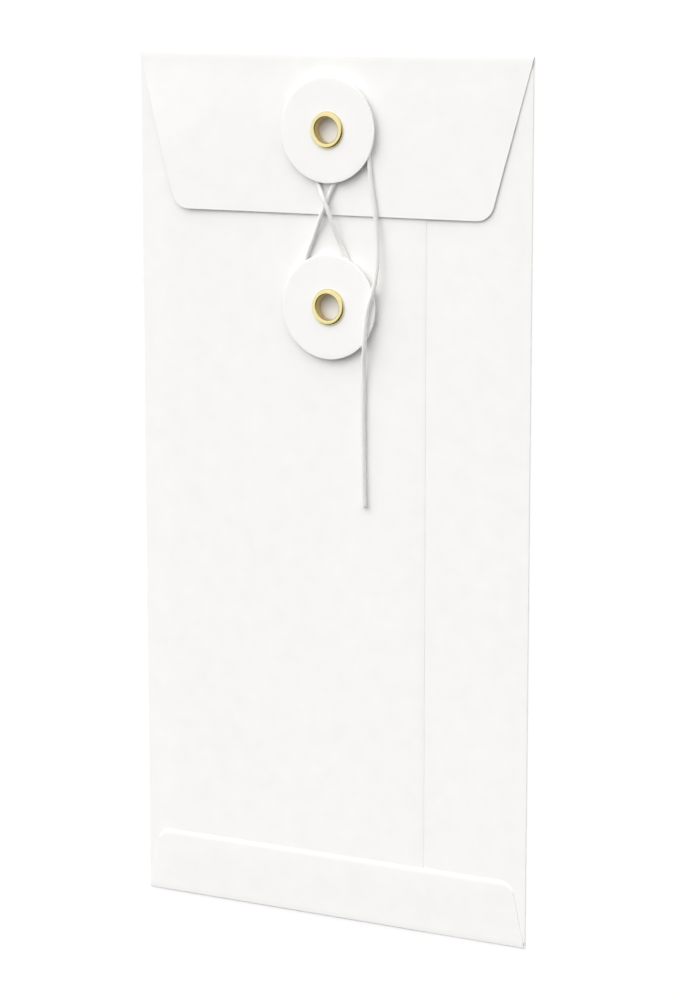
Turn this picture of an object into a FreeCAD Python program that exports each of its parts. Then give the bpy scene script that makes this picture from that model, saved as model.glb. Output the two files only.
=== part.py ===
"""Closed paper envelope with a string-and-disc fastening, lying on its back with the flap side up.

X runs across the envelope, Y along it towards the top flap and Z up. The origin is the middle of the
underside. All sizes are in millimetres.
"""
import FreeCAD, Part
import math
import operator
import os
from collections import namedtuple

import Sketcher

Vector = FreeCAD.Vector

# Driving sizes
SIZES = [
    ("envelope_width", 110.0, "across the folded envelope"),
    ("envelope_length", 220.0, "from the bottom fold to the top fold"),
    ("paper_thick", 0.2, "the sheet"),
    ("pocket_gap", 0.4, "free height inside the pocket, under the upper side panel"),
    ("seam_place", 81.6, "cut edge of the upper side panel, from the left fold"),
    ("seam_overlap", 14.0, "glued width of the seam"),
    ("mouth_setback", 3.0, "top fold to the pocket's mouth"),
    ("panel_setback", 1.5, "bottom fold to the lower edge of the side panels"),
    ("flap_depth", 39.5, "top flap, from its fold"),
    ("flap_taper", 11.0, "how far each side of the top flap comes in"),
    ("flap_corner", 4.75, "corner radius of the top flap"),
    ("bottom_flap_depth", 16.7, "bottom flap, from its fold"),
    ("bottom_flap_notch", 0.4, "inset of the bottom flap's sides at its fold"),
    ("bottom_flap_taper", 4.0, "how far each side of the bottom flap comes in"),
    ("bottom_flap_corner", 3.5, "corner radius of the bottom flap"),
    ("disc_diameter", 26.1, "both discs"),
    ("disc_offset", 0.4, "centres of the discs, to the right of the middle"),
    ("disc_thick", 0.4, "card of the discs"),
    ("disc_edge", 0.12, "rounding of the cut edge of a disc"),
    ("upper_disc_down", 18.65, "centre of the upper disc, from the top fold"),
    ("disc_pitch", 43.65, "from the upper disc's centre to the lower one's"),
    ("string_diameter", 1.2, "cotton string"),
    ("string_play", 0.03, "free height above and below the string under a disc"),
    ("bore_diameter", 6.3, "hole through an eyelet"),
    ("eyelet_wall", 0.3, "wall of the barrel"),
    ("eyelet_play", 0.03, "gap round the barrel"),
    ("lip_reach", 0.6, "bore to the crest of the lip"),
    ("flange_diameter", 9.2, "outside of the lip"),
    ("lip_height", 0.75, "crest of the lip above the disc"),
    ("roll_reach", 0.65, "bore to the crest of the rolled end"),
    ("roll_diameter", 8.8, "outside of the rolled end"),
    ("roll_height", 0.3, "rolled end below the paper"),
    ("roll_play", 0.05, "gap between the upper rolled end and the front"),
]

# Route of the string: from the post of the upper disc, behind and round both discs, to its cut end
STRING_ROUTE = [
    (-3.5, 87.45, 1.98), (-5.1, 91.35, 1.99), (-3.5, 95.25, 1.98), (0.5, 96.85, 1.98),
    (4.4, 95.15, 1.99), (6.4, 91.45, 1.98), (6.3, 87.05, 1.98), (4.43, 82.6, 1.97), (1.43, 77.57, 1.98),
    (-1.52, 70.97, 2.03), (-3.78, 65.67, 1.74), (-5.57, 61.64, 1.43), (-8.66, 53.82, 1.43),
    (-9.67, 46.94, 1.43), (-7.4, 40.6, 1.43), (-1.71, 37.29, 1.43), (4.81, 38.41, 1.43),
    (9.32, 43.33, 1.43), (9.74, 49.75, 1.43), (7.34, 55.62, 1.43), (3.69, 62.82, 1.43),
    (2.69, 65.47, 2.13), (1.29, 69.87, 2.97), (0.43, 72.55, 3.23), (-0.72, 74.9, 3.23),
    (-2.22, 77.12, 1.97), (-3.66, 80.44, 1.98), (-6.3, 85.26, 1.98), (-8.72, 90.35, 1.98),
    (-8.4, 95.88, 1.98), (-4.32, 100.07, 1.98), (1.67, 101.15, 1.98), (7.34, 98.53, 1.98),
    (10.52, 93.01, 1.98), (11.41, 86.03, 1.98), (12.0, 79.37, 1.99), (13.1, 73.17, 2.02),
    (13.73, 67.36, 2.26), (14.16, 61.76, 2.68), (14.11, 56.24, 2.97), (13.28, 52.02, 3.21),
    (11.91, 48.12, 3.22), (11.3, 44.42, 3.22), (11.01, 40.62, 3.21), (10.62, 36.85, 2.68),
    (9.86, 32.55, 1.66), (9.55, 27.37, 1.43), (9.44, 21.27, 1.43), (9.5, 14.86, 1.43),
    (9.62, 8.56, 1.43), (9.67, 3.06, 1.43), (9.87, -1.95, 1.43),
]
RUN_SHARE = 0.45  # part of the shorter run that a bend of the string takes
VOLUME_MATCH = 0.002  # how closely a volume agrees with the one worked out, as a share
TOUCH = 1e-6  # how closely two places agree that are the same, in millimetres


def joined(symbol, work):
    """Returns a method that puts two sizes together, in number and in formula."""

    def method(self, other):
        if not isinstance(other, Size):
            other = Size(float(other), str(other))
        return Size(work(self.value, other.value), f"({self.formula} {symbol} {other.formula})")

    return method


class Size:
    """A length with the sheet formula that gives it."""

    def __init__(self, value, formula):
        self.value = value
        self.formula = formula

    __add__ = joined("+", operator.add)
    __sub__ = joined("-", operator.sub)
    __mul__ = joined("*", operator.mul)
    __truediv__ = joined("/", operator.truediv)

    def __neg__(self):
        return self * -1


ZERO = Size(0.0, "0")
Corner = namedtuple("Corner", "across up centre clockwise", defaults=(None, False))


def make_sheet(doc):
    """Writes the driving sizes to the sheet and returns each as a Size."""
    sheet = doc.addObject("Spreadsheet::Sheet", "Sizes")
    for row, (name, value, note) in enumerate(SIZES, start=1):
        sheet.set(f"A{row}", name)
        sheet.set(f"B{row}", str(value))
        sheet.set(f"C{row}", note)
        sheet.setAlias(f"B{row}", name)
    doc.recompute()
    return {name: Size(float(sheet.get(name)), f"Sizes.{name}") for name, _, _ in SIZES}


def origin_plane(body, role):
    return next(item for item in body.Origin.OriginFeatures if item.Role == role)


def new_sketch(body, name, role, lift):
    """Adds a sketch on one of the body's own planes, moved by lift along the plane's normal."""
    sketch = body.newObject("Sketcher::SketchObject", name)
    sketch.AttachmentSupport = [(origin_plane(body, role), "")]
    sketch.MapMode = "FlatFace"
    sketch.setExpression("AttachmentOffset.Base.z", lift.formula)
    return sketch


def bind(sketch, kind, edge, point, size):
    """Holds one coordinate of a point to its formula."""
    number = sketch.addConstraint(Sketcher.Constraint(kind, -1, 1, edge, point, size.value))
    sketch.setExpression(f"Constraints[{number}]", size.formula)


def add_loop(sketch, corners):
    """Adds a closed outline. A corner with a centre starts an arc, any other a straight edge."""
    first = len(sketch.Geometry)
    ends = []
    for corner, after in zip(corners, corners[1:] + corners[:1]):
        start = Vector(corner.across.value, corner.up.value, 0)
        end = Vector(after.across.value, after.up.value, 0)
        if corner.centre is None:
            sketch.addGeometry(Part.LineSegment(start, end))
            ends.append((1, 2))
            continue
        middle = Vector(corner.centre[0].value, corner.centre[1].value, 0)
        circle = Part.Circle(middle, Vector(0, 0, 1), (start - middle).Length)
        angles = [math.atan2((point - middle).y, (point - middle).x) for point in (start, end)]
        if corner.clockwise:
            angles.reverse()
        sketch.addGeometry(Part.ArcOfCircle(circle, *angles))
        ends.append((2, 1) if corner.clockwise else (1, 2))
    for index, corner in enumerate(corners):
        edge = first + index
        following = (index + 1) % len(corners)
        sketch.addConstraint(
            Sketcher.Constraint("Coincident", edge, ends[index][1], first + following, ends[following][0])
        )
        bind(sketch, "DistanceX", edge, ends[index][0], corner.across)
        bind(sketch, "DistanceY", edge, ends[index][0], corner.up)
        if corner.centre is not None:
            chord = [corners[following].across.value - corner.across.value,
                     corners[following].up.value - corner.up.value]
            level = abs(chord[0]) > abs(chord[1])
            bind(sketch, "DistanceY" if level else "DistanceX", edge, 3, corner.centre[1 if level else 0])


def outline(body, name, role, loops, lift=ZERO):
    sketch = new_sketch(body, name, role, lift)
    for corners in loops:
        add_loop(sketch, corners)
    return sketch


def pad(body, name, sketch, length, symmetric=False):
    """Pads a sketch by a length, along its normal or half to each side."""
    feature = body.newObject("PartDesign::Pad", name)
    feature.Profile = sketch
    feature.setExpression("Length", length.formula)
    feature.Midplane = symmetric
    return feature


def revolve(body, name, sketch):
    """Turns a section once round the upright axis."""
    feature = body.newObject("PartDesign::Revolution", name)
    feature.Profile = sketch
    feature.ReferenceAxis = (sketch, ["V_Axis"])
    feature.Angle = 360
    return feature


def pierce(doc, body, name, place, level, radius, depth):
    """Cuts a round hole downwards from a level, and checks how much paper it removed."""
    sketch = new_sketch(body, f"{name}_outline", "XY_Plane", level)
    sketch.addGeometry(Part.Circle(Vector(place[0].value, place[1].value, 0), Vector(0, 0, 1), radius.value))
    bind(sketch, "DistanceX", 0, 3, place[0])
    bind(sketch, "DistanceY", 0, 3, place[1])
    number = sketch.addConstraint(Sketcher.Constraint("Radius", 0, radius.value))
    sketch.setExpression(f"Constraints[{number}]", radius.formula)
    doc.recompute()
    before = body.Shape.Volume
    hole = body.newObject("PartDesign::Pocket", name)
    hole.Profile = sketch
    hole.setExpression("Length", depth.formula)
    doc.recompute()
    removed = before - body.Shape.Volume
    expected = math.pi * radius.value**2 * depth.value
    if abs(removed - expected) > VOLUME_MATCH * expected:
        raise ValueError(f"{name} removed {removed:.3f} mm3 of {expected:.3f} mm3")


def round_corners(doc, body, name, base, level, free_edge, radius):
    """Rounds the two upright edges at the free edge of the flap that stands at the given level."""
    doc.recompute()
    edges = []
    for number, edge in enumerate(base.Shape.Edges, start=1):
        box = edge.BoundBox
        upright = max(box.XLength, box.YLength) < TOUCH
        if upright and abs(box.ZMin - level.value) < TOUCH and abs(box.YMin - free_edge.value) < TOUCH:
            edges.append(f"Edge{number}")
    if len(edges) != 2:
        raise ValueError(f"{name} found {len(edges)} corners, not 2")
    fillet = body.newObject("PartDesign::Fillet", name)
    fillet.Base = (base, edges)
    fillet.setExpression("Radius", radius.formula)


def levels(s):
    """Heights that stack up from the underside, and the places that several pieces share."""
    front = s["paper_thick"] * 2 + s["pocket_gap"]
    flap_under = front + s["roll_play"] + s["roll_height"]
    disc_gap = s["string_diameter"] + s["string_play"] * 2
    half_length = s["envelope_length"] / 2
    upper_place = half_length - s["upper_disc_down"]
    return {
        "front": front,
        "flap_under": flap_under,
        "flap": flap_under + s["paper_thick"],
        "disc_gap": disc_gap,
        "half_length": half_length,
        "half_width": s["envelope_width"] / 2,
        "upper_place": (s["disc_offset"], upper_place),
        "lower_place": (s["disc_offset"], upper_place - s["disc_pitch"]),
        "shank": s["bore_diameter"] / 2 + s["eyelet_wall"],
    }


def side_tube(s, at):
    """Section of the pocket: the sheet folded round both sides, its left panel over its right one."""
    paper = s["paper_thick"]
    left_radius = at["front"] / 2
    right_radius = (at["front"] - paper) / 2
    left = -at["half_width"] + left_radius
    right = at["half_width"] - right_radius
    seam = s["seam_place"] - at["half_width"]
    tucked = seam - s["seam_overlap"]
    lower_panel = at["front"] - paper
    outside = [
        Corner(left, ZERO),
        Corner(right, ZERO, (right, right_radius)),
        Corner(right, lower_panel),
        Corner(seam, lower_panel),
        Corner(seam, at["front"]),
        Corner(left, at["front"], (left, left_radius)),
    ]
    inside = [
        Corner(left, paper),
        Corner(right, paper, (right, right_radius)),
        Corner(right, lower_panel - paper),
        Corner(tucked, lower_panel - paper),
        Corner(tucked, lower_panel),
        Corner(left, lower_panel, (left, left_radius)),
    ]
    return [outside, inside]


def fold_section(s, edge, tip, radius):
    """Section of an end fold, seen from the side: back panel, half turn, and the start of the flap."""
    paper = s["paper_thick"]
    top_end = tip.value > 0
    turn = tip - radius if top_end else tip + radius
    return [
        Corner(edge, ZERO),
        Corner(turn, ZERO, (turn, radius), not top_end),
        Corner(turn, radius * 2),
        Corner(turn, radius * 2 - paper, (turn, radius), top_end),
        Corner(turn, paper),
        Corner(edge, paper),
    ]


def flap_outline(half_width, root, root_inset, edge, edge_inset):
    """Outline of a flap, from its fold at root to its free edge."""
    return [
        Corner(-half_width + root_inset, root),
        Corner(-half_width + edge_inset, edge),
        Corner(half_width - edge_inset, edge),
        Corner(half_width - root_inset, root),
    ]


def make_envelope_sheet(doc, s, at):
    """The one folded and glued sheet of paper."""
    body = doc.addObject("PartDesign::Body", "envelope_sheet")
    paper = s["paper_thick"]
    mouth = at["half_length"] - s["mouth_setback"]
    panel_end = -at["half_length"] + s["panel_setback"]
    tube = outline(body, "pocket_section", "XZ_Plane", side_tube(s, at), -mouth)
    pad(body, "pocket", tube, mouth - panel_end)

    top_radius = at["flap"] / 2
    top_fold = outline(body, "top_fold_section", "YZ_Plane",
                       [fold_section(s, mouth, at["half_length"], top_radius)])
    pad(body, "top_fold", top_fold, s["envelope_width"], symmetric=True)

    flap_edge = at["half_length"] - s["flap_depth"]
    top_flap = outline(
        body, "top_flap_outline", "XY_Plane",
        [flap_outline(at["half_width"], at["half_length"] - top_radius, ZERO, flap_edge, s["flap_taper"])],
        at["flap_under"],
    )
    flap = pad(body, "top_flap", top_flap, paper)
    round_corners(doc, body, "top_flap_corners", flap, at["flap_under"], flap_edge, s["flap_corner"])

    bottom_radius = (at["front"] + paper) / 2
    bottom_fold = outline(body, "bottom_fold_section", "YZ_Plane",
                          [fold_section(s, panel_end, -at["half_length"], bottom_radius)])
    pad(body, "bottom_fold", bottom_fold, s["envelope_width"], symmetric=True)

    glued_edge = -at["half_length"] + s["bottom_flap_depth"]
    bottom_flap = outline(
        body, "bottom_flap_outline", "XY_Plane",
        [flap_outline(at["half_width"], -at["half_length"] + bottom_radius, s["bottom_flap_notch"],
                      glued_edge, s["bottom_flap_taper"])],
        at["front"],
    )
    flap = pad(body, "bottom_flap", bottom_flap, paper)
    round_corners(doc, body, "bottom_flap_corners", flap, at["front"], glued_edge, s["bottom_flap_corner"])

    hole = at["shank"] + s["eyelet_play"]
    pierce(doc, body, "upper_hole", at["upper_place"], at["flap"], hole, paper)
    pierce(doc, body, "lower_hole", at["lower_place"], at["front"], hole, paper)
    return body


def put(body, place, up):
    """Moves a body to a place on the envelope and a height above its underside."""
    body.setExpression("Placement.Base.x", place[0].formula)
    body.setExpression("Placement.Base.y", place[1].formula)
    body.setExpression("Placement.Base.z", up.formula)


def make_disc(doc, name, s, at, place, paper_level):
    """Card disc with slightly rounded edges, held off the paper by the string's thickness."""
    body = doc.addObject("PartDesign::Body", name)
    hole = at["shank"] + s["eyelet_play"]
    rim = s["disc_diameter"] / 2
    edge = s["disc_edge"]
    thick = s["disc_thick"]
    section = [
        Corner(hole, ZERO),
        Corner(rim - edge, ZERO, (rim - edge, edge)),
        Corner(rim, edge),
        Corner(rim, thick - edge, (rim - edge, thick - edge)),
        Corner(rim - edge, thick),
        Corner(hole, thick),
    ]
    revolve(body, f"{name}_card", outline(body, f"{name}_section", "XZ_Plane", [section]))
    put(body, place, paper_level + at["disc_gap"])
    return body


def make_eyelet(doc, name, s, at, place, paper_level):
    """Brass eyelet: a trumpet lip on the disc, a barrel, and an end rolled out under the paper."""
    body = doc.addObject("PartDesign::Body", name)
    bore = s["bore_diameter"] / 2
    crest = bore + s["lip_reach"]
    lip_low = s["lip_height"] - s["lip_reach"]
    flange = s["flange_diameter"] / 2
    lip_radius = ((flange - crest) * (flange - crest) + s["lip_height"] * s["lip_height"]) / (
        s["lip_height"] * 2
    )
    under = -(s["disc_thick"] + at["disc_gap"] + s["paper_thick"])
    roll_crest = bore + s["roll_reach"]
    roll = s["roll_diameter"] / 2
    roll_end = under - s["roll_height"]
    roll_radius = ((roll - roll_crest) * (roll - roll_crest) + s["roll_height"] * s["roll_height"]) / (
        s["roll_height"] * 2
    )
    section = [
        Corner(bore, lip_low, (crest, lip_low), True),
        Corner(crest, s["lip_height"], (crest, s["lip_height"] - lip_radius), True),
        Corner(flange, ZERO),
        Corner(at["shank"], ZERO),
        Corner(at["shank"], under),
        Corner(roll, under, (roll_crest, roll_end + roll_radius), True),
        Corner(roll_crest, roll_end, (roll_crest, roll_end + s["roll_reach"]), True),
        Corner(bore, roll_end + s["roll_reach"]),
    ]
    revolve(body, f"{name}_brass", outline(body, f"{name}_section", "XZ_Plane", [section]))
    put(body, place, paper_level + at["disc_gap"] + s["disc_thick"])
    return body


def rounded_path(points):
    """Straight runs joined by tangent arcs. Returns the wire and the arcs' radii."""
    edges = []
    radii = []
    last = points[0]
    for before, corner, after in zip(points, points[1:], points[2:]):
        back = (before - corner).normalize()
        ahead = (after - corner).normalize()
        half_turn = (math.pi - back.getAngle(ahead)) / 2
        reach = RUN_SHARE * min((before - corner).Length, (after - corner).Length)
        radius = reach / math.tan(half_turn)
        inward = (back + ahead).normalize()
        start = corner + back * reach
        middle = corner + inward * (radius / math.cos(half_turn) - radius)
        end = corner + ahead * reach
        edges.append(Part.LineSegment(last, start).toShape())
        edges.append(Part.Arc(start, middle, end).toShape())
        radii.append(radius)
        last = end
    edges.append(Part.LineSegment(last, points[-1]).toShape())
    return Part.Wire(edges), radii


def make_string(doc, s):
    """Round tube along the string's route."""
    points = [Vector(*point) for point in STRING_ROUTE]
    path, radii = rounded_path(points)
    radius = s["string_diameter"].value / 2
    circle = Part.Circle(points[0], points[1] - points[0], radius)
    tube = path.makePipeShell([Part.Wire(circle.toShape())], True, False)
    expected = math.pi * radius**2 * path.Length
    print(f"string: {path.Length:.1f} mm, volume {tube.Volume:.2f} of {expected:.2f} mm3")
    print("bend radii:", " ".join(f"{value:.1f}" for value in radii))
    if abs(tube.Volume - expected) > VOLUME_MATCH * expected:
        raise ValueError("the string's volume doesn't match its length")
    string = doc.addObject("Part::Feature", "string")
    string.Shape = tube
    string.Placement = FreeCAD.Placement()
    return string


def check(doc, parts):
    """Stops if any object failed, or a piece isn't one valid solid."""
    for item in doc.Objects:
        if {"Invalid", "Error"} & set(item.State):
            raise ValueError(f"{item.Name} failed: {item.State}")
    for part in parts:
        shape = part.Shape
        if shape.isNull() or not shape.isValid() or len(shape.Solids) != 1:
            raise ValueError(f"{part.Label} isn't one valid solid")
        print(f"{part.Label}: {shape.Volume:.2f} mm3, {shape.BoundBox}")


def main():
    doc = FreeCAD.newDocument("PaperEnvelope")
    s = make_sheet(doc)
    at = levels(s)
    parts = [
        make_envelope_sheet(doc, s, at),
        make_disc(doc, "upper_disc", s, at, at["upper_place"], at["flap"]),
        make_disc(doc, "lower_disc", s, at, at["lower_place"], at["front"]),
        make_eyelet(doc, "upper_eyelet", s, at, at["upper_place"], at["flap"]),
        make_eyelet(doc, "lower_eyelet", s, at, at["lower_place"], at["front"]),
        make_string(doc, s),
    ]
    for part in parts:
        part.Label = part.Name
    doc.recompute()
    check(doc, parts)
    os.makedirs("parts", exist_ok=True)
    for part in parts:
        part.Shape.exportStep(f"parts/{part.Label}.step")


main()
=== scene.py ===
# %% [markdown]
# # A string-and-disc envelope in white paper
# The object is a closed paper envelope that lies on its back. A top flap is tied down by a cotton
# string, which winds round two card discs that brass eyelets hold to the paper. The whole of it is
# less than 4 mm high, so nearly all that the eye sees is paper edges, small gaps and their shadows.
# The CAD model gives every level. Blender adds soft sheets, a twisted string, round metal and light.

# %% Load the fixed frame
import math

import bmesh
import bpy
import numpy as np
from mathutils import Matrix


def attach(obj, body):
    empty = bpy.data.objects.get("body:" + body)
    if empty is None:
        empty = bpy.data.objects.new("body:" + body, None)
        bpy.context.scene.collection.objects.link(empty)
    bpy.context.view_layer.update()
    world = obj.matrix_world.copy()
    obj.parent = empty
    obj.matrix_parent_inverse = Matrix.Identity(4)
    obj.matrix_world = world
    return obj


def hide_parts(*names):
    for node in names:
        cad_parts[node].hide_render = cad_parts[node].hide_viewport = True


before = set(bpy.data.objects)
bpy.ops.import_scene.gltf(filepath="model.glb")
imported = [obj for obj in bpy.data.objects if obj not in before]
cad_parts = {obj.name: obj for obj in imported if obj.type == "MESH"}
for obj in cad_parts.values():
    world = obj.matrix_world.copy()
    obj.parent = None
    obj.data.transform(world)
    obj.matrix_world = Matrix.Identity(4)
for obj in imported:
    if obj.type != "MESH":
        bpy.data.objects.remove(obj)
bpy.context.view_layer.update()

MM = 0.001  # the frame is in metres, and the sizes below are in millimetres

# %% [markdown]
# ## The camera
# The view is from the right and a little from above the middle, through a long lens: the far side is
# hardly smaller than the near one. Its place and turn come from the envelope's four corners, whose
# real distances are known. A camera that is fitted like this shows every raised part where it should be.

# %% Camera
CAMERA_PLACE = (368.65, 134.45, 669.51)
CAMERA_TURN = (-10.085, 28.678, -0.039)  # degrees about X, Y and Z
camera_data = bpy.data.cameras.new("camera")
camera_data.sensor_width = 36.0
camera_data.lens = 111.21
camera = bpy.data.objects.new("camera", camera_data)
camera.location = [v * MM for v in CAMERA_PLACE]
camera.rotation_euler = [math.radians(v) for v in CAMERA_TURN]
bpy.context.scene.collection.objects.link(camera)
bpy.context.scene.camera = camera
bpy.context.scene.view_settings.view_transform = "Standard"
print("camera distance, mm:", round(math.dist(CAMERA_PLACE, (0, 0, 0))))

# %% [markdown]
# ## The route of the string
# The string starts behind the upper disc, goes once round its eyelet, down and round under the lower
# disc, up again behind the upper disc, and then down over the rim of the lower disc, where its loose
# end lies on the paper. A curve through the listed points could be a Bezier or a NURBS. A NURBS of order 3
# is chosen because it stays smooth with many close points and has no handles to tend.

# %% String route
STRING_DIAMETER = 1.2
STRING_ROUTE = [
    (-3.5, 87.45, 1.98), (-5.1, 91.35, 1.99), (-3.5, 95.25, 1.98), (0.5, 96.85, 1.98),
    (4.4, 95.15, 1.99), (6.4, 91.45, 1.98), (6.3, 87.05, 1.98), (4.43, 82.6, 1.97), (1.43, 77.57, 1.98),
    (-1.52, 70.97, 2.09), (-3.78, 65.67, 1.5), (-5.57, 61.64, 1.43), (-8.66, 53.82, 1.43),
    (-9.67, 46.94, 1.43), (-7.4, 40.6, 1.43), (-1.71, 37.29, 1.43), (4.81, 38.41, 1.43),
    (9.32, 43.33, 1.43), (9.74, 49.75, 1.43), (7.34, 55.62, 1.43), (3.69, 62.82, 1.43),
    (2.69, 65.47, 2.13), (1.29, 69.87, 2.97), (0.43, 72.55, 3.23), (-0.72, 74.9, 3.23),
    (-2.22, 77.12, 1.97), (-3.66, 80.44, 1.98), (-6.3, 85.26, 1.98), (-8.72, 90.35, 1.98),
    (-8.4, 95.88, 1.98), (-4.32, 100.07, 1.98), (1.67, 101.15, 1.98), (7.34, 98.53, 1.98),
    (10.52, 93.01, 1.98), (11.41, 86.03, 1.98), (12.0, 79.37, 1.99), (13.1, 73.17, 2.02),
    (13.73, 67.36, 2.0), (14.16, 61.76, 2.3), (14.11, 56.24, 2.82), (13.28, 52.02, 3.21),
    (11.91, 48.12, 3.22), (11.3, 44.42, 3.22), (11.01, 40.62, 3.21), (10.62, 36.85, 2.68),
    (9.96, 32.55, 1.66), (9.75, 27.37, 1.43), (9.66, 21.27, 1.43), (9.72, 14.86, 1.43),
    (9.84, 8.56, 1.43), (9.89, 3.06, 1.43), (10.09, -1.95, 1.43),
]


def smooth_route(points, samples):
    """Follows a NURBS spline of order 3 with the given control points, and returns its own points."""
    curve = bpy.data.curves.new("route", "CURVE")
    curve.dimensions = "3D"
    curve.resolution_u = samples
    spline = curve.splines.new("NURBS")
    spline.points.add(len(points) - 1)
    spline.points.foreach_set("co", np.column_stack([points, np.ones(len(points))]).ravel())
    spline.order_u = 3
    spline.use_endpoint_u = True
    holder = bpy.data.objects.new("route", curve)
    line = bpy.data.meshes.new_from_object(holder)
    followed = np.empty(len(line.vertices) * 3)
    line.vertices.foreach_get("co", followed)
    bpy.data.objects.remove(holder)
    return followed.reshape(-1, 3)


string_line = smooth_route(np.array(STRING_ROUTE) * MM, 12)
string_reach = np.linalg.norm(np.diff(string_line, axis=0), axis=1).sum()
print(f"string: {len(string_line)} points, {string_reach / MM:.1f} mm")

# %% [markdown]
# ## One way to make every surface
# Every piece here is a surface over a grid: rows and columns of points that a formula places. Cells of
# the grid become quads. Grids that meet share points, and merging those turns them into one skin, which
# also closes a surface that comes round to its own start. Modelling by hand would work too, but a
# formula keeps each level of the stack exact, and this object is a stack of thin layers.

# %% Grids to meshes
MERGE = 0.000001  # points closer than a thousandth of a millimetre are one point


def mesh_of(name, grids, lay=None):
    """Makes one object from grids of points in millimetres, each with an array of the cells to skip.

    Cell (r, c) of a grid is the quad of points (r, c), (r, c+1), (r+1, c+1) and (r+1, c). The lay, if
    any, gives each point its place on the surface in millimetres, which becomes the piece's UV map.
    """
    points, faces, first = [], [], 0
    for grid, skip in grids:
        rows, columns = grid.shape[:2]
        row, column = np.meshgrid(np.arange(rows - 1), np.arange(columns - 1), indexing="ij")
        corner = first + row * columns + column
        quads = np.stack([corner, corner + 1, corner + columns + 1, corner + columns], axis=-1)
        faces.append(quads[~skip])
        points.append(grid.reshape(-1, 3))
        first += rows * columns
    quads = np.concatenate(faces)
    mesh = bpy.data.meshes.new(name)
    mesh.from_pydata((np.concatenate(points) * MM).tolist(), [], quads.tolist())
    if lay is not None:
        mesh.uv_layers.new(name="lay").uv.foreach_set("vector", lay.reshape(-1, 2)[quads.ravel()].ravel())
    work = bmesh.new()
    work.from_mesh(mesh)
    bmesh.ops.remove_doubles(work, verts=work.verts, dist=MERGE)
    bmesh.ops.recalc_face_normals(work, faces=work.faces)
    work.to_mesh(mesh)
    work.free()
    piece = bpy.data.objects.new(name, mesh)
    bpy.context.scene.collection.objects.link(piece)
    return piece


def whole(grid):
    """A grid with no cell skipped."""
    return grid, np.zeros((grid.shape[0] - 1, grid.shape[1] - 1), bool)


print("points merge within, mm:", MERGE / MM)

# %% Finishing a piece
CREASE = math.radians(40)  # a sharper turn than this shows as an edge


def settle(piece):
    """Turns the piece's modifiers into mesh, and shades it smooth between creases."""
    bpy.context.view_layer.update()
    made = piece.evaluated_get(bpy.context.evaluated_depsgraph_get())
    mesh = bpy.data.meshes.new_from_object(made)
    piece.modifiers.clear()
    piece.data = mesh
    mesh.shade_smooth()
    mesh.set_sharp_from_angle(angle=CREASE)
    print(f"{piece.name}: {len(mesh.vertices)} points, {len(mesh.polygons)} faces")


def dress(piece, node, material):
    """Hands a finished piece to the frame: it stands for a CAD node and rides on the one body."""
    piece.data.materials.clear()
    piece.data.materials.append(material)
    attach(piece, "root")
    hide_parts(node)


print("edges show over, degrees:", round(math.degrees(CREASE)))

# %% [markdown]
# ## Nodes and colours
# Each finish is a small tree of nodes. One helper adds a node, sets it and links it, so that each finish
# below reads as a list of what it is made of. Colours are written as on a paint card, in sRGB, and one
# function turns them into the linear light that the shader works with.

# %% Node and colour helpers
def linear(card_colour):
    """sRGB hex to linear: low values are divided by 12.92, the others follow a power of 2.4."""
    values = [int(card_colour[i:i + 2], 16) / 255 for i in (1, 3, 5)]
    return [v / 12.92 if v <= 0.04045 else ((v + 0.055) / 1.055) ** 2.4 for v in values] + [1.0]


def add_node(tree, kind, inputs=None, **settings):
    """Adds a node with its settings. An input takes a value, or another node's output as its link."""
    node = tree.nodes.new(kind)
    for name, value in settings.items():
        setattr(node, name, value)
    for socket, value in (inputs or {}).items():
        if isinstance(value, bpy.types.NodeSocket):
            tree.links.new(value, node.inputs[socket])
        else:
            node.inputs[socket].default_value = value
    return node


def new_material(name):
    """An empty material with its node tree."""
    material = bpy.data.materials.new(name)
    material.use_nodes = True
    material.node_tree.nodes.clear()
    return material, material.node_tree


print("middle grey #808080 in linear light:", round(linear("#808080")[0], 3))

# %% [markdown]
# ## Cotton for the string
# The string is bleached cotton, spun and then twisted from three plies. Spinning leaves short fibres that
# lie nearly along the string, which take light softly and give no gloss. The plies are made in the mesh.
# The fibres are far finer than a pixel, so they are drawn as streaks a quarter of a millimetre wide.

# %% Cotton material
FIBRE_WIDTH = 0.25

cotton, tree = new_material("bleached_cotton_string")
along = add_node(tree, "ShaderNodeUVMap", uv_map="lay")
stretched = add_node(tree, "ShaderNodeMapping", {"Vector": along.outputs[0], "Scale": (1.0, 0.12, 1.0)})
fibres = add_node(tree, "ShaderNodeTexNoise",
                  {"Vector": stretched.outputs[0], "Scale": 1 / FIBRE_WIDTH, "Detail": 3.0})
tone = add_node(tree, "ShaderNodeMix",
                {"Factor": fibres.outputs[0], "A": linear("#E8E7E4"), "B": linear("#F4F3F0")},
                data_type="RGBA")
fluff = add_node(tree, "ShaderNodeBump",
                 {"Height": fibres.outputs[0], "Strength": 0.35, "Distance": 0.05 * MM})
shader = add_node(tree, "ShaderNodeBsdfPrincipled",
                  {"Base Color": tone.outputs["Result"], "Roughness": 0.92, "Specular IOR Level": 0.2,
                   "Normal": fluff.outputs[0]})
add_node(tree, "ShaderNodeOutputMaterial", {"Surface": shader.outputs[0]})
print("cotton streaks, mm:", FIBRE_WIDTH)

# %% [markdown]
# ## The string itself
# A round tube would do from afar, but a real string shows its plies along its edges. So the tube's radius
# rises and falls three times on the way round, and that pattern turns steadily along the string. The
# frame that carries the section uses the upward direction, because the string never stands upright.

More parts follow.
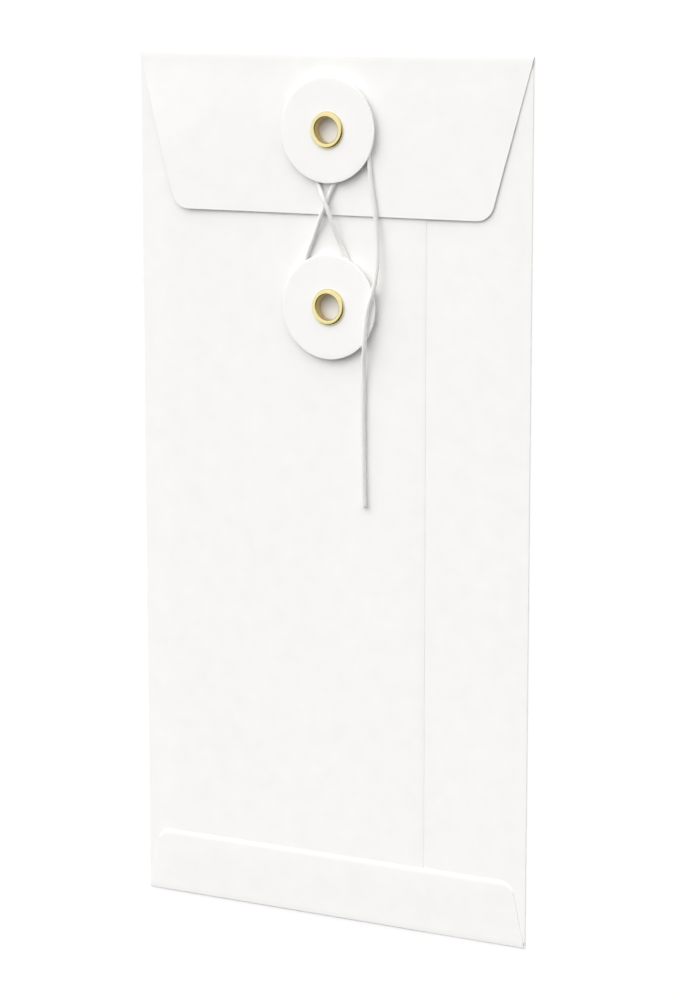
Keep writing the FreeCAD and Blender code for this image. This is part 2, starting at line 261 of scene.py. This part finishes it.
# %% A twisted section along a line
PLIES = 3
TURN_LENGTH = 5.2  # length of string in one full twist of the plies
PLY_DEPTH = 0.11  # depth of the grooves between the plies, as a share of the radius
RING_STEP = 0.3
RING_POINTS = 30
CUT_ROUND = 0.15  # length over which a cut end is rounded
PULLED, SLACK = 0.97, 1.13  # thickness of the wound string and of the loose tail, as shares
TAIL_START = 222.0  # distance along the string where the tail leaves the lower disc
OPENING = 14.0  # length over which its plies open
UNEVEN = 0.02  # how much the thickness wanders, as a share
CUT_RINGS = (0.0, 0.7, 0.92)  # shares of the radius in the three rings at a cut end


def twisted_string(line):
    """Carries a grooved circle along a line, and returns its points and their lay.

    The radius at angle a and distance d is R (1 - depth (1 - |cos(plies (a - turns d) / 2)|)). The plies
    open in the slack tail, so R grows there, and the string's middle rises with it, because it lies on
    its underside. The end rings shrink to a point, which closes the cut ends.
    """
    reach = np.concatenate([[0.0], np.cumsum(np.linalg.norm(np.diff(line, axis=0), axis=1))])
    inner = np.linspace(CUT_ROUND, reach[-1] - CUT_ROUND, int(reach[-1] / RING_STEP) + 1)
    start = np.array([0.0, 0.0, CUT_ROUND / 4])
    rings = np.concatenate([start, inner, reach[-1] - start[::-1]])
    centre = np.column_stack([np.interp(rings, reach, line[:, axis]) for axis in range(3)])
    steps = np.gradient(line, axis=0)
    ahead = np.column_stack([np.interp(rings, reach, steps[:, axis]) for axis in range(3)])
    ahead /= np.linalg.norm(ahead, axis=1)[:, None]
    side = np.cross(ahead, (0.0, 0.0, 1.0))
    side /= np.linalg.norm(side, axis=1)[:, None]
    upward = np.cross(side, ahead)
    angle = np.linspace(-math.pi / 2, 3 * math.pi / 2, RING_POINTS + 1)[None, :]
    along = rings[:, None]
    groove = 1 - np.abs(np.cos(PLIES * (angle - 2 * math.pi * along / TURN_LENGTH) / 2))
    loose = np.clip((along - TAIL_START) / OPENING, 0.0, 1.0)
    wander = np.sin(along * 0.41) * np.sin(along * 0.173 + 1.0)  # waves of 15 and 36 mm
    swell = PULLED + (SLACK - PULLED) * loose + UNEVEN * wander
    radius = STRING_DIAMETER / 2 * swell * (1 - PLY_DEPTH * groove)
    shrink = np.ones_like(along)
    shrink[:3, 0] = CUT_RINGS
    shrink[-3:, 0] = CUT_RINGS[::-1]
    out = np.cos(angle)[..., None] * side[:, None] + np.sin(angle)[..., None] * upward[:, None]
    lay = np.stack(np.broadcast_arrays(angle * STRING_DIAMETER / 2, along), axis=-1)
    centre[:, 2] += STRING_DIAMETER / 2 * np.clip(swell[:, 0] - 1.0, 0.0, None)
    return centre[:, None] + out * (radius * shrink)[..., None], lay


string_grid, string_lay = twisted_string(string_line / MM)
print("string rings and points in each:", string_grid.shape[:2])

# %% String mesh
string = mesh_of("cotton_string", [whole(string_grid)], string_lay)
settle(string)
dress(string, "string", cotton)

# %% [markdown]
# ## Paper for the envelope
# The envelope is uncoated white paper, made by draining pulp on a moving wire and pressing it between
# rollers. That leaves a matt sheet with faint clouds where the pulp lies thicker, and a fine tooth. The
# clouds are a few millimetres wide and hardly show. The real tooth is about a tenth of a millimetre,
# finer than a pixel, so it is drawn half a millimetre wide and very shallow.

# %% Paper material
CLOUD_WIDTH = 5.0
TOOTH_WIDTH = 0.5


def pulp(name, thin, thick, tooth_depth):
    """Matt pulp: two close whites in clouds, and a shallow tooth."""
    material, tree = new_material(name)
    place = add_node(tree, "ShaderNodeTexCoord")
    clouds = add_node(tree, "ShaderNodeTexNoise",
                      {"Vector": place.outputs["Object"], "Scale": 1 / (CLOUD_WIDTH * MM), "Detail": 2.0})
    tone = add_node(tree, "ShaderNodeMix",
                    {"Factor": clouds.outputs[0], "A": linear(thin), "B": linear(thick)}, data_type="RGBA")
    tooth = add_node(tree, "ShaderNodeTexNoise",
                     {"Vector": place.outputs["Object"], "Scale": 1 / (TOOTH_WIDTH * MM), "Detail": 3.0})
    relief = add_node(tree, "ShaderNodeBump",
                      {"Height": tooth.outputs[0], "Strength": 0.5, "Distance": tooth_depth * MM})
    shader = add_node(tree, "ShaderNodeBsdfPrincipled",
                      {"Base Color": tone.outputs["Result"], "Roughness": 0.9, "Specular IOR Level": 0.25,
                       "Normal": relief.outputs[0]})
    add_node(tree, "ShaderNodeOutputMaterial", {"Surface": shader.outputs[0]})
    return material


paper = pulp("uncoated_white_paper", "#F5F4F2", "#FBFAF8", 0.01)
print("paper clouds and tooth, mm:", CLOUD_WIDTH, TOOTH_WIDTH)

# %% [markdown]
# ## The sheet, its levels and its gentle relief
# The whole envelope is one sheet: a back panel, two side panels that are glued over each other, a bottom
# flap that is glued over them, and a top flap. It could be five plates, but the folds are what makes it
# look like paper. So the middle of the sheet is built as one skin, and Solidify gives it its thickness.
# Folded paper is pressed thin along its folds and comes up to its full height some way in. It is never
# quite flat, either, so the front sinks by up to a tenth of a millimetre in slow waves. The top flap rests
# on the rolled end of its eyelet, so it stands off the front, and its left side curls up a little more.

# %% Pressed folds and slow waves
WIDTH, LENGTH = 110.0, 220.0
MOUTH, PANEL_END = 107.0, -108.5  # the side panels' edges along Y
DISC_OFFSET = 0.4  # centres of the discs, to the right of the middle
UPPER_DISC, LOWER_DISC = 91.35, 47.7  # the same, along Y
FOLD_CENTRE = 54.77  # axis of a side fold, from the middle
PRESSED = 9.0  # width over which a panel comes up from its side fold
END_PRESSED = 12.0  # the same at the bottom fold
RELIEF = 0.1


def rise(value, low, high):
    """Goes from 0 at low to 1 at high, level at both ends: t t (3 - 2 t)."""
    t = np.clip((value - low) / (high - low), 0.0, 1.0)
    return t * t * (3 - 2 * t)


def front_relief(x, y):
    """How far the front sinks: slow waves in both directions, none near the folds and the lower disc.

    The waves are 1/2 + 1/2 sin(x/7.5 + y/31 + 1.3) cos(y/13 + 0.4), about 47 mm wide and 82 mm long. They
    fade within 14 to 20 mm of the edges, and from 24 to 9 mm from the middle of the disc.
    """
    waves = 0.5 + 0.5 * np.sin(x / 7.5 + y / 31 + 1.3) * np.cos(y / 13 + 0.4)
    inside = rise(WIDTH / 2 - np.abs(x), 1.0, 14.0) * rise(y, PANEL_END, -88.0) * rise(MOUTH - y, 0.0, 16.0)
    return -RELIEF * waves * inside * rise(np.hypot(x - DISC_OFFSET, y - LOWER_DISC), 9.0, 24.0)


def pressing(x, y, low=PANEL_END):
    """How much the folds press a panel down: 1 at a side fold, and 1 at the mouth and the bottom fold.

    Each is 1 less the rise with the distance from its fold, and the second gives way to the first.
    """
    side = 1 - rise(FOLD_CENTRE - np.abs(x), 0.0, PRESSED)
    end = 1 - rise(y, low, low + END_PRESSED) * rise(MOUTH - y, 0.0, PRESSED + 0.5)
    return side, end * (1 - side)


print("the front sinks at x 20, y 0 by", round(-float(front_relief(20.0, 0.0)), 3), "mm")

# %% Levels of the panels
PAPER = 0.2
LEFT_LEVEL, RIGHT_LEVEL = 0.7, 0.5  # levels are those of the middle of the paper
LEFT_DROP, RIGHT_DROP, END_DROP = 0.38, 0.19, 0.16  # how far a panel comes down at its folds
SEAM = 26.6  # edge of the left side panel


def left_level(x, y):
    """The left side panel, which lies over the right one: its level less the pressing, with the relief."""
    side, end = pressing(x, y)
    return LEFT_LEVEL - LEFT_DROP * side - END_DROP * end + front_relief(x, y)


def right_level(x, y):
    """The right side panel, made the same way."""
    side, end = pressing(x, y)
    return RIGHT_LEVEL - RIGHT_DROP * side - END_DROP * end + front_relief(x, y)


def bottom_flap_level(x, y):
    """The bottom flap, one sheet above both panels: it goes from one to the other beyond the seam."""
    beyond = rise(x, SEAM - 1.0, SEAM + 3.0)
    return left_level(x, y) * (1 - beyond) + right_level(x, y) * beyond + PAPER


for level_at, spot in ((left_level, (0.0, 0.0)), (left_level, (-54.0, 0.0)), (right_level, (54.0, 0.0)),
                       (bottom_flap_level, (0.0, -108.0))):
    print(level_at.__name__, "at", spot, "mm:", round(float(level_at(*spot)), 3))

# %% Level of the top flap
FLAP_LIFT = 0.35  # how far the eyelet's rolled end holds the flap off the front
FOLD_SPRING = 0.6  # share of that which the spring of the fold gives at the fold itself
RIGHT_FALL = 0.7  # share of it that is lost at the right side
CURL = 0.45  # how far the left side stands up more than that


def top_flap_level(x, y):
    """The top flap: springy at its fold, pressed at its sides, held up by the eyelet, curled at the left.

    The lift has risen to the full value 13 mm down from the fold at the eyelet, and 33 mm down far from it.
    It falls from 18 to 44 mm right of the middle. The curl grows from 18 to 46 mm left of it, 22 mm down.
    """
    side, end = pressing(x, y, low=-LENGTH)
    down = LENGTH / 2 - 1.0 - y
    reach = 13.0 + 20.0 * rise(np.abs(x - DISC_OFFSET), 5.0, 32.0)
    lift = (FOLD_SPRING + (1 - FOLD_SPRING) * rise(down, 0.0, reach)) * (1 - RIGHT_FALL * rise(x, 18.0, 44.0))
    curl = rise(-x, 18.0, 46.0) * rise(down, 0.0, 22.0)
    return LEFT_LEVEL - LEFT_DROP * side - END_DROP / 2 * end + PAPER + FLAP_LIFT * lift + CURL * curl


print("top flap level at its fold and at the disc, mm:",
      [round(float(top_flap_level(DISC_OFFSET, y)), 3) for y in (109.5, UPPER_DISC)])

# %% [markdown]
# ## The pocket
# The two side panels and the back are one band of paper that goes round the pocket. Its section is drawn
# once, as a path from the tucked edge, round the right fold, along the back, round the left fold and
# over to the seam. The rows carry it along the envelope. Round the lower eyelet a square of cells gives
# way to a ring, so that the paper has a true round hole.

# %% Rows, columns and round holes
HOLE = 3.48  # radius of the holes for the eyelets
HOLE_SQUARE, HOLE_CELLS = 6.0, 12  # half side of the square of cells round a hole, and cells along its side
HOLE_LEFT, HOLE_RIGHT = DISC_OFFSET - HOLE_SQUARE, DISC_OFFSET + HOLE_SQUARE
NEAR_FOLD = 46.0  # from here to a side fold the cells are narrow


def places(start, *spans):
    """Places along a line from start. Each span is (its end, its number of equal cells)."""
    parts = [np.array([float(start)])]
    for end, cells in spans:
        parts.append(np.linspace(parts[-1][-1], end, cells + 1)[1:])
    return np.concatenate(parts)


def hole_ring(centre_y, level_at):
    """Fills a square of cells round a hole: each point on the square goes straight to the centre.

    The inner row lies on the circle, and the rows share the way out evenly.
    """
    side = np.linspace(-HOLE_SQUARE, HOLE_SQUARE, HOLE_CELLS + 1)[:-1]
    edge = np.full_like(side, HOLE_SQUARE)
    x = np.concatenate([side, edge, -side, -edge, side[:1]])
    y = np.concatenate([-edge, side, edge, -side, -edge[:1]])
    share = np.linspace(0.0, 1.0, 5)[:, None]
    scale = (1 - share) + share * HOLE / np.hypot(x, y)
    ring_x, ring_y = DISC_OFFSET + x * scale, centre_y + y * scale
    return np.stack([ring_x, ring_y, level_at(ring_x, ring_y)], axis=-1)


def in_square(grid, centre_y):
    """The cells of a grid whose middle lies in the square round a hole."""
    middle = (grid[:-1, :-1] + grid[1:, 1:]) / 2
    return ((np.abs(middle[..., 0] - DISC_OFFSET) < HOLE_SQUARE)
            & (np.abs(middle[..., 1] - centre_y) < HOLE_SQUARE))


ROWS = places(PANEL_END, (-96.0, 14), (LOWER_DISC - HOLE_SQUARE, 68), (LOWER_DISC + HOLE_SQUARE, HOLE_CELLS),
              (97.0, 22), (MOUTH, 10))
BACK_COLUMNS = places(-FOLD_CENTRE, (-NEAR_FOLD, 18), (HOLE_LEFT, 20), (HOLE_RIGHT, HOLE_CELLS),
                      (NEAR_FOLD, 20), (FOLD_CENTRE, 18))
print("rows:", len(ROWS), "columns of the back:", len(BACK_COLUMNS))

# %% Pocket
BACK_LEVEL = PAPER / 2
TUCKED_EDGE = 12.6  # edge of the right side panel, under the left one
CUT_PRESS = 0.10  # how far the seam's cut edge is pressed into the layer under it
FOLD_CELLS = 10


def half_turn(x, level, first, last):
    """Half circle of a fold: centre at x, from the back's level to the panel's, through the angles."""
    radius = (level - BACK_LEVEL) / 2
    angle = np.radians(np.linspace(first, last, FOLD_CELLS + 1))[1:-1]
    return x + radius * np.cos(angle), BACK_LEVEL + radius + radius * np.sin(angle)


def pocket_section():
    """The band's path, seen from the mouth: X and Z of each column, and the columns of each side panel."""
    right_x = places(TUCKED_EDGE, (SEAM, 7), (NEAR_FOLD, 10), (FOLD_CENTRE, 12))
    right_turn = half_turn(FOLD_CENTRE, RIGHT_LEVEL - RIGHT_DROP, 90, -90)
    back = BACK_COLUMNS[::-1]
    left_turn = half_turn(-FOLD_CENTRE, LEFT_LEVEL - LEFT_DROP, -90, -270)
    left_x = places(-FOLD_CENTRE, (-NEAR_FOLD, 10), (HOLE_LEFT, 20), (HOLE_RIGHT, HOLE_CELLS),
                    (SEAM - 1.0, 9), (SEAM, 2))
    x = np.concatenate([right_x, right_turn[0], back, left_turn[0], left_x])
    z = np.concatenate([right_x * 0, right_turn[1], back * 0 + BACK_LEVEL, left_turn[1], left_x * 0])
    column = np.arange(len(x))
    return x, z, column < len(right_x), column >= len(x) - len(left_x)


section_x, section_z, of_right, of_left = pocket_section()
pocket = np.stack(np.broadcast_arrays(section_x[None], ROWS[:, None], section_z[None]), axis=-1).copy()
pocket_x, pocket_y = pocket[..., 0], pocket[..., 1]
pocket[..., 2] += of_right * right_level(pocket_x, pocket_y)
pocket[..., 2] += of_left * (left_level(pocket_x, pocket_y) - CUT_PRESS * rise(pocket_x, SEAM - 1.0, SEAM))
pocket_holes = in_square(pocket, LOWER_DISC) & of_left[:-1]
print("pocket grid:", pocket.shape[:2], "cells left out for the hole:", int(pocket_holes.sum()))

# %% [markdown]
# ## The two flaps
# A flap goes on from the back panel, turns over its fold and narrows towards its free edge, where its
# corners are round. Its grid follows the fold as a half circle. Towards the free edge, the straight rows
# turn bit by bit into the outline itself, so the round corners need no cutting.

# %% Over the fold
FLAP_COLUMNS = np.concatenate([[-WIDTH / 2], BACK_COLUMNS, [WIDTH / 2]])


def spread(half):
    """Columns drawn in to a half width, apart from the middle ones, which a hole needs straight.

    On each side, all distances from the hole's square shrink by one share, which puts the last column there.
    """
    side = np.sign(FLAP_COLUMNS)
    near = DISC_OFFSET + side * HOLE_SQUARE
    drawn = near + (FLAP_COLUMNS - near) * (side * half - near) / (side * WIDTH / 2 - near)
    return np.where(np.abs(FLAP_COLUMNS - DISC_OFFSET) > HOLE_SQUARE, drawn, FLAP_COLUMNS)


def fold_rows(start, tip, level_at, inset):
    """From the back panel over the fold: a straight strip, then a half circle up to the flap's level.

    The half circle's radius is half the height between the two, so it varies along the fold.
    """
    way = math.copysign(1.0, tip)
    radius = (level_at(spread(WIDTH / 2), tip - way * 0.4) - BACK_LEVEL) / 2
    centre = tip - way * (radius + PAPER / 2)
    angle = np.radians(np.linspace(-90, 90, FOLD_CELLS + 1))[:, None]
    y = np.concatenate([np.full_like(centre, start)[None], centre + way * radius * np.cos(angle)])
    z = np.concatenate([np.full_like(centre, BACK_LEVEL)[None],
                        BACK_LEVEL + radius + radius * np.sin(angle)])
    half = WIDTH / 2 - inset * np.concatenate([[0.0], np.linspace(0.0, 1.0, len(angle))])
    return np.stack([spread(half[:, None]), y, z], axis=-1)


print("flap columns:", len(FLAP_COLUMNS))

# %% From the fold to the free edge
TURNING_ROWS = 8


def flap_rows(rows, edge, root_half, edge_half, corner, level_at):
    """From the fold to the free edge. Straight rows first, then some that turn into the outline.

    The sides come in evenly. A corner's circle touches the side and the edge.
    """
    way = math.copysign(1.0, edge - rows[0])
    slope = (root_half - edge_half) / abs(edge - rows[0])
    slant = math.atan(slope)
    centre_y = edge - way * corner
    centre_x = edge_half + slope * corner - corner / math.cos(slant)
    half = root_half - slope * np.abs(rows - rows[0])
    x = spread(half[:, None])
    straight = np.stack(np.broadcast_arrays(x, rows[:, None]), axis=-1)
    end_x = spread(centre_x + corner * math.cos(slant))
    beyond = np.clip(np.abs(end_x) - centre_x, 0.0, corner)
    end = np.stack([end_x, centre_y + way * np.sqrt(corner**2 - beyond**2)], axis=-1)
    share = np.linspace(0.0, 1.0, TURNING_ROWS + 1)[1:, None, None]
    turning = straight[-1] * (1 - share) + end * share
    flat = np.concatenate([straight[1:], turning])
    return np.concatenate([flat, level_at(flat[..., 0], flat[..., 1])[..., None]], axis=-1)


# Y of the free edge, half width at the fold and at the edge, radius of the corners
TOP_FLAP = (70.5, 55.0, 44.0, 4.75)
BOTTOM_FLAP = (-93.3, 54.6, 51.0, 3.5)
FLAP_PRESS = 0.15  # how far the bottom flap's cut edge is pressed down
FOLD_END = LENGTH / 2 - 0.6  # where the fold has come round to the flap

top_rows = places(FOLD_END, (UPPER_DISC + HOLE_SQUARE, 10), (UPPER_DISC - HOLE_SQUARE, HOLE_CELLS), (78.0, 5))
top = np.concatenate([fold_rows(MOUTH, LENGTH / 2, top_flap_level, WIDTH / 2 - TOP_FLAP[1]),
                      flap_rows(top_rows, *TOP_FLAP, top_flap_level)])
bottom_flap = flap_rows(places(-FOLD_END, (-99.0, 10)), *BOTTOM_FLAP, bottom_flap_level)
bottom_flap[-1, :, 2] -= FLAP_PRESS
bottom = np.concatenate([fold_rows(PANEL_END, -LENGTH / 2, bottom_flap_level, WIDTH / 2 - BOTTOM_FLAP[1]),
                         bottom_flap])
print("flap grids:", top.shape[:2], bottom.shape[:2])

# %% The sheet in one skin
top_holes = in_square(top, UPPER_DISC) & (top[:-1, :-1, 2] > LEFT_LEVEL)
envelope = mesh_of("paper_envelope", [
    (pocket, pocket_holes),
    (top, top_holes),
    whole(bottom),
    whole(hole_ring(LOWER_DISC, left_level)),
    whole(hole_ring(UPPER_DISC, top_flap_level)),
])
thickness = envelope.modifiers.new("thickness", "SOLIDIFY")
thickness.thickness = PAPER * MM
thickness.offset = 0.0
thickness.use_even_offset = True
settle(envelope)
dress(envelope, "envelope_sheet", paper)

# %% [markdown]
# ## Card discs
# The discs are stamped from white card 0.4 mm thick. The punch leaves the upper edge a little
# rounded, and the lower one nearly sharp. A section turned round the axis gives that. The card is the
# same kind of pulp as the paper, only denser and smoother.

# %% Discs
card = pulp("white_card", "#F6F5F3", "#FBFAF8", 0.006)
DISC_RADIUS, DISC_THICK = 13.05, 0.4
UPPER_DISC_LEVEL, LOWER_DISC_LEVEL = 2.61, 2.06  # undersides
TURNS = 180


def turned(profile, centre_y, level):
    """Turns a section, given as radius and height, round an upright axis. Rows go round the axis."""
    angle = np.linspace(0.0, 2 * math.pi, TURNS + 1)[:, None]
    radius, height = profile[:, 0], profile[:, 1]
    x, y = DISC_OFFSET + radius * np.cos(angle), centre_y + radius * np.sin(angle)
    return np.stack(np.broadcast_arrays(x, y, level + height), axis=-1)


def arc(centre, radius, first, last, cells):
    """Points on a circle between two angles in degrees."""
    angle = np.radians(np.linspace(first, last, cells + 1))
    return np.column_stack([centre[0] + radius * np.cos(angle), centre[1] + radius * np.sin(angle)])


def disc_profile():
    """Hole, underside, a small lower edge, a larger upper edge, and the top back to the hole."""
    lower, upper = 0.05, 0.12
    return np.concatenate([
        [[HOLE, 0.0]],
        [[5.0, 0.0], [9.0, 0.0], [12.0, 0.0]],
        arc((DISC_RADIUS - lower, lower), lower, -90, 0, 3),
        arc((DISC_RADIUS - upper, DISC_THICK - upper), upper, 0, 90, 5),
        [[12.0, DISC_THICK], [9.0, DISC_THICK], [5.0, DISC_THICK]],
        [[HOLE, DISC_THICK], [HOLE, 0.0]],
    ])


for name, node, centre_y, level in (("upper_card_disc", "upper_disc", UPPER_DISC, UPPER_DISC_LEVEL),
                                    ("lower_card_disc", "lower_disc", LOWER_DISC, LOWER_DISC_LEVEL)):
    disc = mesh_of(name, [whole(turned(disc_profile(), centre_y, level))])
    settle(disc)
    dress(disc, node, card)

# %% [markdown]
# ## Brass eyelets
# An eyelet is a short brass tube. Its lip is pressed to a smooth trumpet before it is used, and its other
# end is rolled out under the paper by the setting tool. The lip is polished. The inside of the tube and
# the foot of the lip are rougher, and they also get a darker, browner colour, which is painted shade: it
# stands for the shade in the bore and round the foot. A turned section follows it from the bore over the
# crest, down to the card and on to the rolled end. Its UV map holds radius and height, so that the metal
# can tell where it is. The lip shows wear in spots about a millimetre wide.

# %% Brass material
BORE, SHANK = 3.15, 3.45  # radii of the tube
POLISHED_UNSHADED = (3.5, 4.4)  # radii between which the lip is fully polished and free of the painted shade
FLANGE = 4.6  # radius of the lip's foot
WEAR_WIDTH = 1.2

brass, tree = new_material("polished_brass")
place = add_node(tree, "ShaderNodeTexCoord")
wear = add_node(tree, "ShaderNodeTexNoise",
                {"Vector": place.outputs["Object"], "Scale": 1 / (WEAR_WIDTH * MM)})
section = add_node(tree, "ShaderNodeSeparateXYZ",
                   {0: add_node(tree, "ShaderNodeUVMap", uv_map="lay").outputs[0]})
inside = add_node(tree, "ShaderNodeMapRange",
                  {"Value": section.outputs["X"], "From Min": BORE, "From Max": POLISHED_UNSHADED[0],
                   "To Min": 1.0, "To Max": 0.0})
foot = add_node(tree, "ShaderNodeMapRange",
                {"Value": section.outputs["X"], "From Min": POLISHED_UNSHADED[1], "From Max": FLANGE})
# Mask of the bore and the lip's foot: the metal is rougher there, and its colour is painted shade
dull_and_painted_shade = add_node(tree, "ShaderNodeMath", {0: inside.outputs[0], 1: foot.outputs[0]}, operation="MAXIMUM")
lip = add_node(tree, "ShaderNodeMix", {"Factor": wear.outputs[0], "A": linear("#EFDF9C"),
                                       "B": linear("#F8EEBA")}, data_type="RGBA")
# Painted shade: the bore and the foot are mixed towards a darker, browner brass, for the shade that falls
# there
tone = add_node(tree, "ShaderNodeMix", {"Factor": dull_and_painted_shade.outputs[0], "A": lip.outputs["Result"],
                                        "B": linear("#DCC897")}, data_type="RGBA")
gloss = add_node(tree, "ShaderNodeMapRange", {"Value": dull_and_painted_shade.outputs[0], "To Min": 0.17, "To Max": 0.45})
marks = add_node(tree, "ShaderNodeBump", {"Height": wear.outputs[0], "Strength": 0.3, "Distance": 0.01 * MM})
shader = add_node(tree, "ShaderNodeBsdfPrincipled",
                  {"Base Color": tone.outputs["Result"], "Metallic": 1.0, "Roughness": gloss.outputs[0],
                   "Normal": marks.outputs[0]})
add_node(tree, "ShaderNodeOutputMaterial", {"Surface": shader.outputs[0]})
print("brass: tube", BORE, "to", SHANK, "mm, lip out to", FLANGE, "mm from the axis")


# %% Eyelets
def eyelet_profile():
    """Bore, inner round of the lip, crest, outer round, barrel, and the rolled end back to the bore.

    An outer round of width w and height h is part of a circle that is level at the crest, so its radius
    is (w w + h h) / (2 h).
    """
    crest, lip_height = 3.75, 0.75
    reach = crest - BORE
    lip_radius = ((FLANGE - crest) ** 2 + lip_height**2) / (2 * lip_height)
    outer_angle = math.degrees(math.acos((FLANGE - crest) / lip_radius))
    under, roll, roll_height, roll_crest = -1.86, 4.4, 0.3, 3.8
    roll_radius = ((roll - roll_crest) ** 2 + roll_height**2) / (2 * roll_height)
    roll_angle = math.degrees(math.acos((roll - roll_crest) / roll_radius))
    low = under - roll_height
    return np.concatenate([
        arc((crest, lip_height - reach), reach, 180, 90, 14),
        arc((crest, lip_height - lip_radius), lip_radius, 90, outer_angle, 12)[1:],
        [[SHANK, 0.0], [SHANK, under], [roll, under]],
        arc((roll_crest, low + roll_radius), roll_radius, -roll_angle, -90, 8)[1:],
        arc((roll_crest, low + roll_crest - BORE), roll_crest - BORE, -90, -180, 8)[1:],
        [[BORE, lip_height - reach]],
    ])


for name, node, centre_y, level in (("upper_brass_eyelet", "upper_eyelet", UPPER_DISC, UPPER_DISC_LEVEL),
                                    ("lower_brass_eyelet", "lower_eyelet", LOWER_DISC, LOWER_DISC_LEVEL)):
    lay = np.broadcast_to(eyelet_profile(), (TURNS + 1, *eyelet_profile().shape))
    eyelet = mesh_of(name, [whole(turned(eyelet_profile(), centre_y, level + DISC_THICK))], lay)
    settle(eyelet)
    dress(eyelet, node, brass)

# %% [markdown]
# ## The table and the light
# A cut-out on white hides the table, but the object still has to lie on something. The floor is white. To
# the camera it gives off most of its white by itself and takes the rest from the light, so that a faint
# shadow of the envelope stays. The light comes from all over a dim room with three brighter parts: a large
# window at the upper left, a smaller one at the upper right and a pale wall at the lower right. The world
# holds them, so the light is even over the whole sheet, and still the right side of each raised part is
# darker than its left. Lamps near the object would fall off over its length. Metal shows its form by what
# it mirrors, so the brass sees a plainer room: bright on the window's side and dark on the other.

# %% Floor
FLOOR_GLOW = 0.72  # share of its white that the table gives off by itself, to the camera and in the metal
FLOOR_HALF = 3.0  # metres
FLOOR_DROP = 0.02  # just under the paper, so that the two don't share a plane

floor_material, tree = new_material("white_table")
rays = add_node(tree, "ShaderNodeLightPath")
seen = add_node(tree, "ShaderNodeMath", {0: rays.outputs["Is Camera Ray"], 1: rays.outputs["Is Glossy Ray"]},
                operation="MAXIMUM")
glow = add_node(tree, "ShaderNodeMath", {0: seen.outputs[0], 1: FLOOR_GLOW}, operation="MULTIPLY")
light = add_node(tree, "ShaderNodeEmission", {"Strength": glow.outputs[0]})
matt = add_node(tree, "ShaderNodeBsdfDiffuse", {"Color": linear("#FAFAFA")})
dimmed = add_node(tree, "ShaderNodeBsdfDiffuse", {"Color": linear("#999999")})
base = add_node(tree, "ShaderNodeMixShader", {0: seen.outputs[0], 1: matt.outputs[0], 2: dimmed.outputs[0]})
both = add_node(tree, "ShaderNodeAddShader", {0: light.outputs[0], 1: base.outputs[0]})
add_node(tree, "ShaderNodeOutputMaterial", {"Surface": both.outputs[0]})
edge = np.array([-FLOOR_HALF, FLOOR_HALF]) / MM
floor_grid = np.stack(np.broadcast_arrays(edge[None], edge[:, None], np.array([[-FLOOR_DROP]])), axis=-1)
floor = mesh_of("table", [whole(floor_grid)])
floor.data.materials.append(floor_material)
print("table, m:", 2 * FLOOR_HALF, "square,", FLOOR_DROP, "mm under the paper")

# %% Room and window
ROOM = 0.07  # light from all round
# Turn from +X and height above the floor in degrees, and how much each adds at its middle
WINDOW, SECOND_WINDOW, WALL = (126.0, 37.0, 4.3), (52.0, 28.0, 1.45), (-15.0, 14.0, 0.45)
NARROWING = 4.0  # power of the falling off
MIRRORED = (0.03, 1.25)  # darkest and brightest part of the room in the metal
MIRROR_EDGE = (-0.22, 0.28)  # cosines from the window between which one turns into the other


def pointing(turn, height):
    """Unit vector for a turn from +X and a height above the floor, in degrees."""
    turn, height = math.radians(turn), math.radians(height)
    return math.cos(height) * math.cos(turn), math.cos(height) * math.sin(turn), math.sin(height)


def glow_round(tree, direction, source, rest):
    """The rest plus the source's strength times a power of the cosine from it, where that is above 0."""
    cosine = add_node(tree, "ShaderNodeVectorMath",
                      {0: direction.outputs["Generated"], 1: pointing(*source[:2])}, operation="DOT_PRODUCT")
    front = add_node(tree, "ShaderNodeMath", {0: cosine.outputs["Value"], 1: 0.0}, operation="MAXIMUM")
    narrowed = add_node(tree, "ShaderNodeMath", {0: front.outputs[0], 1: NARROWING}, operation="POWER")
    return add_node(tree, "ShaderNodeMath", {0: narrowed.outputs[0], 1: source[2], 2: rest},
                    operation="MULTIPLY_ADD").outputs[0]


print("window direction:", [round(v, 2) for v in pointing(*WINDOW[:2])])

# %% World
world = bpy.data.worlds.new("studio")
bpy.context.scene.world = world
world.use_nodes = True
tree = world.node_tree
tree.nodes.clear()
rays = add_node(tree, "ShaderNodeLightPath")
direction = add_node(tree, "ShaderNodeTexCoord")
soft = ROOM
for source in (WINDOW, SECOND_WINDOW, WALL):
    soft = glow_round(tree, direction, source, soft)
to_window = add_node(tree, "ShaderNodeVectorMath",
                     {0: direction.outputs["Generated"], 1: pointing(*WINDOW[:2])}, operation="DOT_PRODUCT")
mirrored = add_node(tree, "ShaderNodeMapRange",
                    {"Value": to_window.outputs["Value"], "From Min": MIRROR_EDGE[0],
                     "From Max": MIRROR_EDGE[1], "To Min": MIRRORED[0], "To Max": MIRRORED[1]})
for_metal = add_node(tree, "ShaderNodeMix",
                     {"Factor": rays.outputs["Is Glossy Ray"], "A": soft, "B": mirrored.outputs[0]},
                     data_type="FLOAT")
level = add_node(tree, "ShaderNodeMix",
                 {"Factor": rays.outputs["Is Camera Ray"], "A": for_metal.outputs[0], "B": 1.0},
                 data_type="FLOAT")
air = add_node(tree, "ShaderNodeBackground", {"Strength": level.outputs[0]})
add_node(tree, "ShaderNodeOutputWorld", {"Surface": air.outputs[0]})
print("world nodes:", len(tree.nodes))
